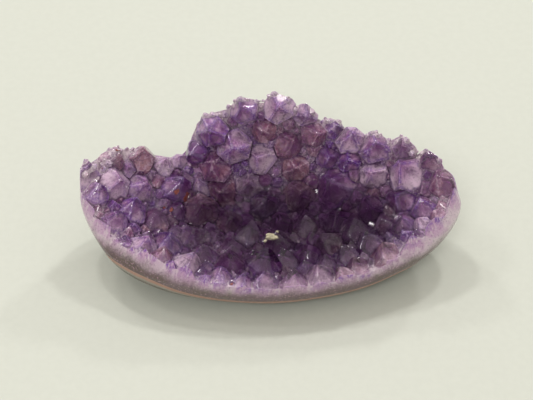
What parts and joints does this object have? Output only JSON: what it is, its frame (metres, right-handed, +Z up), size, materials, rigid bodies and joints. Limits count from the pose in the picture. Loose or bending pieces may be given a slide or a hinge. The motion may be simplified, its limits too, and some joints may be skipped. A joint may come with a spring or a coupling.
{
  "type": "amethyst cluster",
  "caption": "Boat-shaped piece of amethyst geode wall: purple crystals line a hollow with a pale polished quartz edge, on a skin of host rock, standing on a flat.",
  "frame": {"origin": "middle of the sawn flat that the cluster stands on", "axes": "+Z up, +X towards the right end, -Y towards the low front edge, so the high wall is at +Y"},
  "size_m": [0.1503, 0.0704, 0.0589],
  "materials": {
    "amethyst": "clear to cloudy purple crystal with glossy faces, paling to milky quartz at the polished edge",
    "rock": "ground and polished at the edge, dull and pitted below"
  },
  "bodies": {
    "root": {"amethyst_crystals": "amethyst", "host_rock": "rock"}
  },
  "joints": []
}
